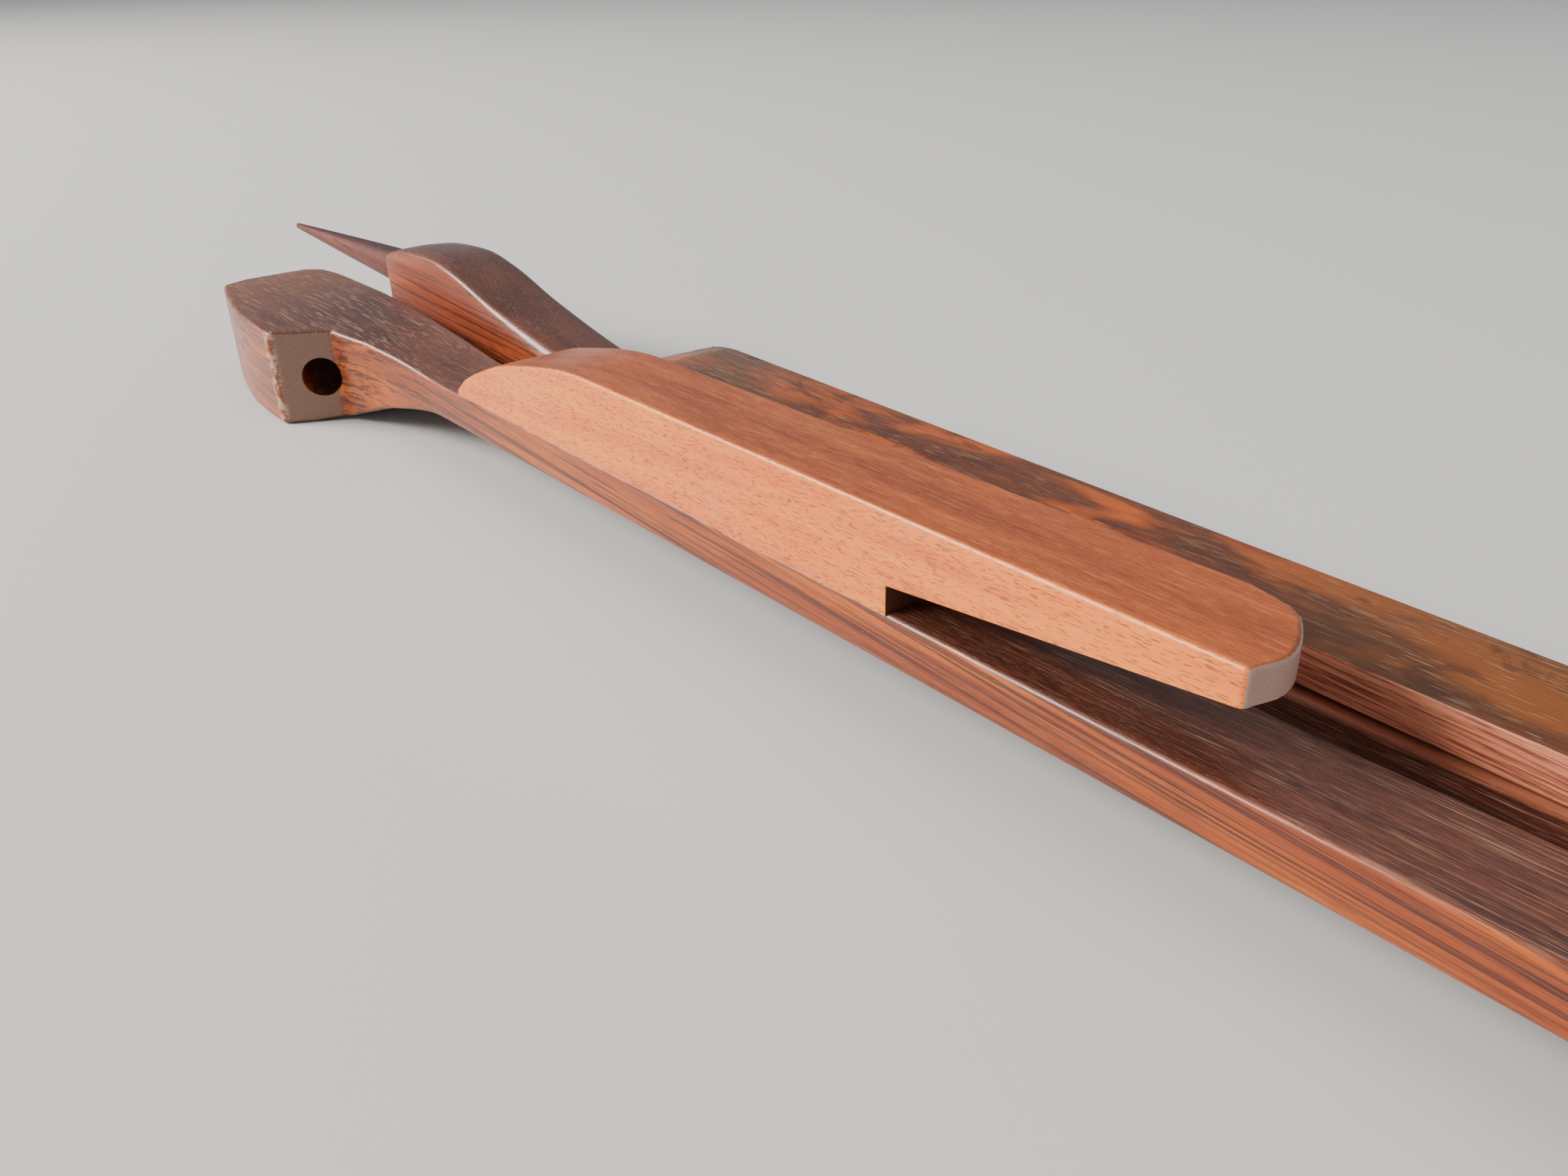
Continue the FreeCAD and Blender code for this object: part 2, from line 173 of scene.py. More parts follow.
def shaped_bar(outline, top, low, cuts, rounding, sharp=32.0, lengthways=(), above=-math.inf,
               clamp=True):
    """A bar from its plan outline, its top and underside set by functions of x and y.

    The cuts run across it and the lengthways lines along it.  Ridges sharper than the sharp angle
    are rounded, but not those that lie wholly below the above height.
    """
    if rounding:
        cuts = [cut for cut in cuts if min(abs(cut - x) for x, y in outline) > KEEP_CLEAR]
    bm = bmesh.new()
    floor = bm.faces.new([bm.verts.new((x, y, 0.0)) for x, y in outline])
    lid = bmesh.ops.extrude_face_region(bm, geom=[floor])
    lid_verts = [item for item in lid["geom"] if isinstance(item, bmesh.types.BMVert)]
    bmesh.ops.translate(bm, verts=lid_verts, vec=(0, 0, 1))
    planes = [((x, 0, 0), (1, 0, 0)) for x in cuts] + [((0, y, 0), (0, 1, 0)) for y in lengthways]
    for place, normal in planes:
        bmesh.ops.bisect_plane(bm, geom=bm.verts[:] + bm.edges[:] + bm.faces[:], dist=1e-5,
                               plane_co=place, plane_no=normal)
    for vert in bm.verts:
        x, y, z = vert.co
        vert.co.z = top(x, y) if z > 0.5 else low(x, y)
    bmesh.ops.remove_doubles(bm, verts=bm.verts[:], dist=MERGE)
    bmesh.ops.recalc_face_normals(bm, faces=bm.faces[:])
    flats = [edge for edge in bm.edges
             if edge.is_manifold and edge.calc_face_angle() < math.radians(0.4)]
    bmesh.ops.dissolve_edges(bm, edges=flats, use_verts=True)
    if rounding:
        ridges = [edge for edge in bm.edges
                  if edge.is_manifold and edge.calc_face_angle() > math.radians(sharp)
                  and max(vert.co.z for vert in edge.verts) > above]
        bmesh.ops.bevel(bm, geom=ridges, offset=rounding, offset_type="OFFSET", segments=4,
                        profile=0.5, affect="EDGES", clamp_overlap=clamp, material=-1)
    return bm


def round_bit(centre, axis, diameter, length):
    """A drill bit whose middle is at centre, and a test for points on its side."""
    centre = Vector(centre)
    axis = Vector(axis).normalized()
    bm = bmesh.new()
    bmesh.ops.create_cone(bm, cap_ends=True, segments=64, radius1=diameter / 2,
                          radius2=diameter / 2, depth=length)
    turn = Vector((0, 0, 1)).rotation_difference(axis).to_matrix().to_4x4()
    bmesh.ops.transform(bm, matrix=Matrix.Translation(centre) @ turn, verts=bm.verts[:])

    def touches(point):
        away = point - centre
        return abs((away - axis * away.dot(axis)).length - diameter / 2) < NEAR_ENOUGH
    return bm, touches


def wedge_bit(side, near, far):
    """A prism across the arms from its (x, z) side view, and a test for points on its faces."""
    bm = bmesh.new()
    face = bm.faces.new([bm.verts.new((x, near, z)) for x, z in side])
    pushed = bmesh.ops.extrude_face_region(bm, geom=[face])
    pushed_verts = [item for item in pushed["geom"] if isinstance(item, bmesh.types.BMVert)]
    bmesh.ops.translate(bm, verts=pushed_verts, vec=(0, far - near, 0))
    bmesh.ops.recalc_face_normals(bm, faces=bm.faces[:])

    def touches(point):
        for (x1, z1), (x2, z2) in zip(side, side[1:] + side[:1]):
            run = Vector((x2 - x1, z2 - z1))
            away = Vector((point.x - x1, point.z - z1))
            aside = abs(run.cross(away)) / run.length
            ahead = away.dot(run) / run.length
            if aside < NEAR_ENOUGH and -NEAR_ENOUGH < ahead < run.length + NEAR_ENOUGH:
                return True
        return False
    return bm, touches


def piece(name, bm, place=True):
    """Turns a bmesh in layout millimetres into an object in the frame, in metres."""
    if place:
        to_frame = Matrix.Translation(ZERO) @ Matrix.Scale(MM, 4)
        bmesh.ops.transform(bm, matrix=to_frame, verts=bm.verts[:])
    mesh = bpy.data.meshes.new(name)
    bm.to_mesh(mesh)
    bm.free()
    obj = bpy.data.objects.new(name, mesh)
    bpy.context.scene.collection.objects.link(obj)
    return obj


def drill(bm, bits, rim=0.35):
    """Cuts bits out of a bmesh and eases the new rims."""
    body = piece("blank", bm, place=False)
    tools = []
    for number, (bit, touches) in enumerate(bits):
        tool = piece("bit_%d" % number, bit, place=False)
        step = body.modifiers.new("hole_%d" % number, "BOOLEAN")
        step.operation = "DIFFERENCE"
        step.solver = "EXACT"
        step.object = tool
        tools.append(tool)
    bpy.context.view_layer.update()
    drilled = bmesh.new()
    drilled.from_object(body, bpy.context.evaluated_depsgraph_get())
    for obj in tools + [body]:
        bpy.data.objects.remove(obj, do_unlink=True)
    bmesh.ops.remove_doubles(drilled, verts=drilled.verts[:], dist=1e-3)
    rims = [edge for edge in drilled.edges
            if edge.is_manifold and edge.calc_face_angle() > math.radians(40)
            and any(touches(edge.verts[0].co) and touches(edge.verts[1].co) for bit, touches in bits)]
    bmesh.ops.bevel(drilled, geom=rims, offset=rim, offset_type="OFFSET", segments=2, profile=0.5,
                    affect="EDGES", clamp_overlap=False, material=-1)
    return drilled


def turned(profile, centre, axis, steps=48):
    """A lathe-turned solid from (distance along the axis, radius) points.

    The profile closes at radius 0, or on itself as a ring.
    """
    bm = bmesh.new()
    verts = [bm.verts.new((radius, 0, along)) for along, radius in profile]
    for a, b in zip(verts, verts[1:]):
        bm.edges.new((a, b))
    if profile[0][1] > 0:
        bm.edges.new((verts[-1], verts[0]))
    bmesh.ops.spin(bm, geom=bm.verts[:] + bm.edges[:], cent=(0, 0, 0), axis=(0, 0, 1),
                   angle=math.tau, steps=steps, use_merge=True)
    bmesh.ops.remove_doubles(bm, verts=bm.verts[:], dist=1e-4)
    bmesh.ops.recalc_face_normals(bm, faces=bm.faces[:])
    turn = Vector((0, 0, 1)).rotation_difference(Vector(axis)).to_matrix().to_4x4()
    bmesh.ops.transform(bm, matrix=Matrix.Translation(centre) @ turn, verts=bm.verts[:])
    return bm


def soften(obj, weigh, angle=38.0):
    """Smooth shading; weighed normals keep flats flat between rounded edges."""
    for face in obj.data.polygons:
        face.use_smooth = True
    bm = bmesh.new()
    bm.from_mesh(obj.data)
    for edge in bm.edges:
        edge.smooth = not edge.is_manifold or edge.calc_face_angle() < math.radians(angle)
    bm.to_mesh(obj.data)
    bm.free()
    if weigh:
        weighted = obj.modifiers.new("weighted", "WEIGHTED_NORMAL")
        weighted.keep_sharp = True
        weighted.weight = 60


def finish_piece(obj, node, body, finish, weigh=True):
    """Gives a piece its finish and smooth shading, hides the CAD node it stands for and hangs it on
    its body.
    """
    obj.data.materials.clear()
    obj.data.materials.append(finish)
    soften(obj, weigh)
    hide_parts(node)
    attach(obj, body)


# ---- the wooden pieces ---------------------------------------------------------------------
def front_arm_outline():
    """Plan of the front arm: shaft, neck, facet, bellied outer face and rounded end."""
    flare = smooth_line([(NECK_X - 1, -NECK_PROUD), (NECK_X + 16, -NECK_PROUD * 0.45),
                         (SHAFT_X + 6, 0.0)])
    neck = [(x, flare(x)) for x in between(SHAFT_X + 6, NECK_X, 12)]
    belly = [(HEAD_LENGTH, -FLARE), (54.0, -21.8), (47.0, -21.7), (36.3, -21.1), (25.0, -19.4),
             (12.0, -16.7), (3.0, -14.4), (-4.0, -12.3)]
    end = [(-HEAD_FORE, 3.7), (-14.7, 7.4), (-13.7, 10.8), (-11.9, 13.6), (-9.3, 15.7), (-5.5, 17.6),
           (-1.0, 19.1), (4.0, 20.0), (9.0, 20.45), (HEAD_CORNER, ARM_WIDTH)]
    outline = [(ARM_END, 0.0)] + neck + belly + end + [(ARM_END, ARM_WIDTH)]
    return outline[::-1]


def front_arm():
    cove = smooth_line([(NECK_X - 6, -GROUND), (NECK_X + 10, -GROUND * 0.66),
                        (NECK_X + 24, -GROUND * 0.32), (SHAFT_X + 8, 0.0)])
    rise = smooth_line([(-HEAD_FORE, ARM_THICK + 3.4), (-8.0, ARM_THICK + 4.9),
                        (0.0, ARM_THICK + 5.7),
                        (HEAD_LENGTH * 0.65, ARM_THICK + 6.0), (NECK_X, ARM_THICK + 4.7),
                        (NECK_X + 24, ARM_THICK + 2.7), (SHAFT_X + 10, ARM_THICK)])

    def top(x, y):
        return max(rise(x), FOLD.z + knuckle_height(x)) if x > FOLD.x - KNUCKLE else rise(x)

    def low(x, y):
        return min(cove(x), FOLD.z - knuckle_height(x)) if x > FOLD.x - KNUCKLE else cove(x)

    cuts = between(-12, SHAFT_X + 14, 36) + knuckle_cuts()
    bm = shaped_bar(front_arm_outline(), top, low, cuts, 1.3, clamp=False)
    mouth = inward(SOCKET["pos_m"])
    out = Vector(SOCKET["axis"])
    depth = SOCKET["dims"]["length_mm"]
    holes = [round_bit(mouth + out * 15, out, 2 * SOCKET["dims"]["r_mm"], depth + 30),
             round_bit((FOLD.x, ARM_WIDTH / 2, FOLD.z), (0, 1, 0), FOLD_PIN, ARM_WIDTH + OVERCUT),
             round_bit((80.0, ARM_WIDTH, -2.8), (0, 1, 0), REST_PEG, 28.0)]
    obj = piece("front_arm_wood", drill(bm, holes))
    finish_piece(obj, "front_arm", "front_arm",
                 dark_hardwood("front_arm_grain", 0.0, front_head=True))


def keeper_block():
    slot_x = BLOCK_END - SLOT_LENGTH
    nose_end = BLOCK_X + 62
    nose = smooth_line([(BLOCK_X, ARM_THICK + 1.6), (BLOCK_X + 3, ARM_THICK + 3.8),
                        (BLOCK_X + 10.5, ARM_THICK + 7.6), (BLOCK_X + 29, ARM_THICK + 14.0),
                        (nose_end, BLOCK_TOP)])
    end = smooth_line([(0.0, BLOCK_END - 1.6), (ARM_WIDTH * 0.3, BLOCK_END),
                       (ARM_WIDTH * 0.8, BLOCK_END - 4.2), (ARM_WIDTH * 0.93, BLOCK_END - 8),
                       (ARM_WIDTH, BLOCK_END - BLOCK_CORNER)])
    right = [(end(y), y) for y in between(0.0, ARM_WIDTH, 12)]
    outline = [(BLOCK_X, 0.0)] + right + [(BLOCK_X, ARM_WIDTH)]
    bm = shaped_bar(outline, lambda x, y: nose(x), lambda x, y: ARM_THICK,
                    between(BLOCK_X + 1, nose_end, 20), 1.0, sharp=40, above=ARM_THICK + 0.1)
    below = ARM_THICK - 2
    roof = ARM_THICK + SLOT_HEIGHT
    slope = SLOT_RISE / SLOT_LENGTH
    past_end = BLOCK_END + OVERCUT
    slot = [(slot_x, below), (slot_x, roof), (past_end, roof + slope * (SLOT_LENGTH + OVERCUT)),
            (past_end, below)]
    bit = wedge_bit(slot, -OVERCUT, ARM_WIDTH + OVERCUT)
    obj = piece("keeper_block_wood", drill(bm, [bit], rim=0.25))
    finish_piece(obj, "keeper_block", "front_arm", beech("keeper_beech"))


def rear_arm():
    far_side = REAR_Y + ARM_WIDTH
    sharp_roll = 1.5
    full_roll = 4.4
    full_end = FOLD.x - 60
    roll_end = FOLD.x - KNUCKLE - 4
    sweep = smooth_line([(REAR_X, 22.0), (REAR_X + 0.8, 23.2), (REAR_X + 5, 24.9),
                         (REAR_X + 15, 26.8), (REAR_X + 33, 27.5), (REAR_X + 48, 25.3),
                         (REAR_X + 70, 19.8), (REAR_X + 103, 13.7), (REAR_X + 136, ARM_THICK)])
    roll = smooth_line([(REAR_X + 40, sharp_roll), (REAR_X + 125, full_roll),
                        (full_end, full_roll), (roll_end, sharp_roll)])

    def knuckle(x, y):
        return knuckle_height(x, eased(y, REAR_Y, far_side, sharp_roll))

    def top(x, y):
        crown = 1.4 * max(0.0, 1 - x / 180.0) * ((y - REAR_Y - 8) / 12) ** 2
        arch = 0.25 * (roll(x) - sharp_roll) * ((y - REAR_Y) / ARM_WIDTH * 2 - 1) ** 2
        height = sweep(x) - crown - arch - eased(y, REAR_Y, far_side, roll(x))
        return max(height, FOLD.z + knuckle(x, y))

    def low(x, y):
        return min(eased(y, REAR_Y, far_side, min(3.0, roll(x))), FOLD.z - knuckle(x, y))

    corner = 2.5
    corners = (arc_points((REAR_X + corner, far_side - corner), corner, 90, 180, 5)
               + arc_points((REAR_X + corner, REAR_Y + corner), corner, 180, 270, 5))
    outline = corners + [(ARM_END, REAR_Y), (ARM_END, far_side)]
    cuts = between(REAR_X + 3, REAR_X + 142, 30) + between(full_end, roll_end, 6) + knuckle_cuts()
    inset = (0.12, 0.5, 1.2, 2.2, 3.4, 4.6)
    middle = REAR_Y + ARM_WIDTH / 2
    ways = [REAR_Y + y for y in inset] + [middle] + [far_side - y for y in inset]
    bm = shaped_bar(outline, top, low, cuts, 0.0, lengthways=ways)
    spike_z = inward(spike_low).z + SPIKE_ROOT
    holes = [round_bit((FOLD.x, middle, FOLD.z), (0, 1, 0), FOLD_PIN + PIN_PLAY, ARM_WIDTH + OVERCUT),
             round_bit((PIVOT.x, middle, ARM_THICK / 2), (0, 0, 1), BAR_PIN, ARM_THICK + OVERCUT),
             round_bit((REAR_X + 12, middle, spike_z), (1, 0, 0), TENON, 28.0)]
    obj = piece("rear_arm_wood", drill(bm, holes))
    grain = dark_hardwood("rear_arm_grain", 5.3, tint=(0.96, 0.9, 0.88), rear_arm=True)
    finish_piece(obj, "rear_arm", "rear_arm", grain, weigh=False)


def top_bar():
    half = BAR_WIDTH / 2
    free = -BAR_REACH
    tail = arc_points((0, 0), half, -90, 90, 16)
    aside = half - BAR_CORNER
    far = (arc_points((free + BAR_CORNER, aside), BAR_CORNER, 90, 180, 10)
           + arc_points((free + BAR_CORNER, -aside), BAR_CORNER, 180, 270, 10))
    nail = smooth_line([(free, BAR_THICK - 2.6), (free + 4, BAR_THICK - 1.1),
                        (free + 15, BAR_THICK)])

    def top(x, y):
        return nail(x) - 0.35 * (y / half) ** 2

    bm = shaped_bar(tail + far, top, lambda x, y: 0.0, between(free + 2, free + 22, 10), 1.1,
                    lengthways=(-half / 2, 0.0, half / 2))
    turn = Matrix.Rotation(-BAR_SPLAY, 4, "Z")
    bmesh.ops.transform(bm, matrix=Matrix.Translation(PIVOT) @ turn, verts=bm.verts[:])
    hole = round_bit((PIVOT.x, PIVOT.y, PIVOT.z + BAR_THICK / 2), (0, 0, 1), BAR_PIN + PIN_PLAY,
                     BAR_THICK + OVERCUT)
    obj = piece("top_bar_wood", drill(bm, [hole]))
    finish_piece(obj, "top_bar", "top_bar", amber_hardwood("top_bar_varnish"))


def spike():
    """Hand-shaved cone: a slight swell, a blunt tip and a plain tenon."""
    length = REAR_X - inward(spike_low).x
    swell = 0.1
    ease = 0.5
    tenon = TENON / 2
    tenon_length = 26.0
    cone = [(length * t, SPIKE_ROOT + (SPIKE_TIP - SPIKE_ROOT) * t + swell * math.sin(math.pi * t))
            for t in between(0.0, 0.985, 14)]
    profile = [(-tenon_length, 0.0), (-tenon_length, tenon - ease), (-tenon_length + ease, tenon),
               (0.0, tenon), (0.0, SPIKE_ROOT - 0.2)] + cone[1:]
    profile += [(length - ease, 0.75), (length - 0.1, 0.4), (length, 0.0)]
    height = (inward(spike_low).z + inward(spike_high).z) / 2
    centre = Vector((REAR_X, REAR_Y + ARM_WIDTH / 2, height))
    obj = piece("spike_wood", turned(profile, centre, (-1, 0, 0)))
    grain = dark_hardwood("spike_grain", 9.1, pores=0.2, tint=(0.72, 0.62, 0.8), gloss=0.3)
    finish_piece(obj, "spike", "rear_arm", grain)


def peg(name, node, body, low, high, axis, slot, finish, ease=0.5):
    """A dowel with eased ends, from the box of its CAD node."""
    low, high = inward(low), inward(high)
    centre = (low + high) / 2
    size = high - low
    length = max(size)
    radius = min(size) / 2
    half = length / 2
    profile = [(-half, 0.0), (-half, radius - ease), (-half + ease, radius), (half - ease, radius),
               (half, radius - ease), (half, 0.0)]
    finish_piece(piece(name, turned(profile, centre, axis, 32)), node, body, finish)


# ---- the brass pieces ----------------------------------------------------------------------
def domed_pin(node, body, base, axis, radius, grip, head_radius, head_height, finish):
    """Rivet pin: domed head behind the base, shank along the axis, upset over at the far end."""
    ball = (head_radius ** 2 + head_height ** 2) / (2 * head_height)
    reach = math.asin(head_radius / ball)
    ease = 0.4
    dome = [(ball - head_height - ball * math.cos(a), ball * math.sin(a))
            for a in between(0.0, reach, 9)]
    profile = dome + [(0.0, head_radius - 0.15), (0.0, radius), (grip - ease, radius),
                      (grip, radius - ease), (grip, 0.0)]
    finish_piece(piece(node + "_metal", turned(profile, base, axis)), node, body, finish)


def washer(node, body, finish, bore, ease=0.18):
    """A washer or collar from the box of its CAD node, with eased rims."""
    low, high = (inward(corner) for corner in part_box(node))
    size = high - low
    axis = (0, 0, 1) if size.z < min(size.x, size.y) else (0, 1, 0)
    thick = size.z if axis[2] else size.y
    outer = size.x / 2
    ease = min(ease, thick / 3)
    half = thick / 2
    inner = bore / 2
    profile = [(-half, inner + ease), (-half + ease, inner), (half - ease, inner),
               (half, inner + ease), (half, outer - ease), (half - ease, outer),
               (-half + ease, outer), (-half, outer - ease)]
    ring = turned(profile, (low + high) / 2, axis)
    finish_piece(piece(node + "_metal", ring), node, body, finish)


def hardware():
    brass = aged_brass("aged_brass")
    fold_head = 3.0
    start = inward(pin_low).y + fold_head
    domed_pin("fold_pin", "front_arm", Vector((FOLD.x, start, FOLD.z)), (0, 1, 0), FOLD_PIN / 2,
              inward(pin_high).y - start, 5.5, fold_head, brass)
    bar_head = 2.4
    top = inward(bar_pin_high).z - bar_head
    domed_pin("bar_pivot_pin", "rear_arm", Vector((PIVOT.x, PIVOT.y, top)), (0, 0, -1),
              BAR_PIN / 2, top - inward(bar_pin_low).z, 4.5, bar_head, brass)
    for node in ("fold_washer_front", "fold_spacer", "fold_washer_rear", "fold_burr"):
        washer(node, "front_arm", brass, FOLD_PIN)
    for node in ("bar_washer_top", "bar_washer_middle", "bar_burr"):
        washer(node, "rear_arm", brass, BAR_PIN)


def pegs():
    pale = beech("dowel_beech")
    for number in (1, 2):
        node = "keeper_dowel_%d" % number
        peg(node + "_wood", node, "front_arm", *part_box(node), (0, 0, 1), "beech_dowel", pale)
    peg("spike_key_wood", "spike_key", "rear_arm", *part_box("spike_key"), (0, 0, 1), "beech_dowel",
        pale, 0.3)
    dark = dark_hardwood("peg_grain", 3.7, pores=0.4)
    peg("rest_peg_wood", "rest_peg", "front_arm", *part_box("rest_peg"), (0, 1, 0), "dark_hardwood",
        dark, 0.8)


# ---- finishes ------------------------------------------------------------------------------
class Wire:
    """A number on its way through a finish; sums on it add Math nodes."""

    def __init__(self, paint, socket):
        self.paint = paint
        self.socket = socket

    def sum(self, operation, first, second):
        return self.paint.node("ShaderNodeMath", {"operation": operation}, {0: first, 1: second})

    def __add__(self, other):
        return self.sum("ADD", self, other)

    def __radd__(self, other):
        return self.sum("ADD", other, self)

    def __sub__(self, other):
        return self.sum("SUBTRACT", self, other)

    def __rsub__(self, other):
        return self.sum("SUBTRACT", other, self)

    def __mul__(self, other):
        return self.sum("MULTIPLY", self, other)

    def __rmul__(self, other):
        return self.sum("MULTIPLY", other, self)

    def __pow__(self, other):
        return self.sum("POWER", self, other)

    def size(self):
        return self.paint.node("ShaderNodeMath", {"operation": "ABSOLUTE"}, {0: self})

    def over(self, low, high):
        """0 below low, 1 above high, smooth between."""
        sockets = {0: self, 1: low, 2: high, 3: 0.0, 4: 1.0}
        return self.paint.node("ShaderNodeMapRange", {"interpolation_type": "SMOOTHSTEP"}, sockets)


class Finish:
    """One material and the few kinds of node that its pattern needs."""

    def __init__(self, name, metallic=0.0, roughness=0.5, coat=0.0, coat_roughness=0.2):
        self.material = bpy.data.materials.new(name)
        self.material.use_nodes = True
        self.tree = self.material.node_tree
        self.shader = self.tree.nodes["Principled BSDF"]
        self.shader.inputs["Metallic"].default_value = metallic
        self.shader.inputs["Roughness"].default_value = roughness
        self.shader.inputs["Specular IOR Level"].default_value = 0.35
        self.shader.inputs["Coat Weight"].default_value = coat
        self.shader.inputs["Coat Roughness"].default_value = coat_roughness
        self.place = self.node("ShaderNodeTexCoord", {}, {}, "Object")

    def node(self, kind, settings, sockets, out=0):
        made = self.tree.nodes.new(kind)
        for setting, value in settings.items():
            setattr(made, setting, value)
        for key, value in sockets.items():
            if isinstance(value, Wire):
                self.tree.links.new(value.socket, made.inputs[key])
            else:
                made.inputs[key].default_value = value
        return Wire(self, made.outputs[out])

    def stretched(self, scale, shift=(0.0, 0.0, 0.0), turn=(0.0, 0.0, 0.0)):
        """Object coordinates, turned first, then stretched along the grain."""
        turned_place = self.node("ShaderNodeMapping", {}, {"Vector": self.place, "Rotation": turn})
        return self.node("ShaderNodeMapping", {},
                         {"Vector": turned_place, "Scale": scale, "Location": shift})

    def noise(self, scale, shift=(0.0, 0.0, 0.0), detail=3.0, rough=0.5, bend=0.0,
              turn=(0.0, 0.0, 0.0)):
        where = self.stretched(scale, shift, turn)
        return self.node("ShaderNodeTexNoise", {},
                         {"Vector": where, "Scale": 1.0, "Detail": detail, "Roughness": rough,
                          "Distortion": bend}, "Fac")

    def blend(self, amount, first, second):
        """The first colour at amount 0, the second at 1."""
        return self.node("ShaderNodeMix", {"data_type": "RGBA"}, {0: amount, 6: first, 7: second}, 2)

    def facing(self, axis):
        """How far the surface faces along an axis of the object, -1 to 1."""
        normal = self.node("ShaderNodeTexCoord", {}, {}, "Normal")
        return self.node("ShaderNodeSeparateXYZ", {}, {0: normal}, axis)

    def along(self, axis):
        return self.node("ShaderNodeSeparateXYZ", {}, {0: self.place}, axis)

    def past(self, start, end):
        """0 before start and 1 after end, in the layout's millimetres along the arms."""
        return self.along("X").over(ZERO.x + start * MM, ZERO.x + end * MM)

    def done(self, colour, roughness=None, relief=None, depth=0.1):
        """Joins up the colour, roughness and relief, with the relief's depth in millimetres."""
        self.tree.links.new(colour.socket, self.shader.inputs["Base Color"])
        if roughness is not None:
            self.tree.links.new(roughness.socket, self.shader.inputs["Roughness"])
        if relief is not None:
            bump = self.node("ShaderNodeBump", {},
                             {"Strength": 1.0, "Distance": depth * MM, "Height": relief})
            self.tree.links.new(bump.socket, self.shader.inputs["Normal"])
        return self.material


def colour(red, green, blue):
    """Linear colour from the 0 to 255 values that an eye would match on screen."""
    return tuple((value / 255) ** 2.2 for value in (red, green, blue)) + (1.0,)


def rubbed_corner(wood, base, pale):
    """Chipped, paler corner between the front head's outer face and its facet."""
    corner = wood.past(56.5, 59.5) * (1 - wood.along("Y").over(ZERO.y - 0.0211, ZERO.y - 0.0195))
    chips = wood.noise((420, 420, 420), (0.4, 0, 0), 3.0, 0.7).over(0.46, 0.56)
    return wood.blend(corner * chips * 0.45, base, pale)


def plug_mark(wood, base, side, dark):
    """Dark half ring of a small plug beside the socket."""
    across = wood.along("X") - (ZERO.x + 0.0722)
    upright = wood.along("Z") - (ZERO.z + 0.0062)
    ring = ((across * across * 2.2 + upright * upright) ** 0.5 - 0.0021).size()
    scar = (1 - ring.over(0.00012, 0.0003)) * side * across.over(-0.0006, -0.0002)
    return wood.blend(scar * 0.8, base, dark)


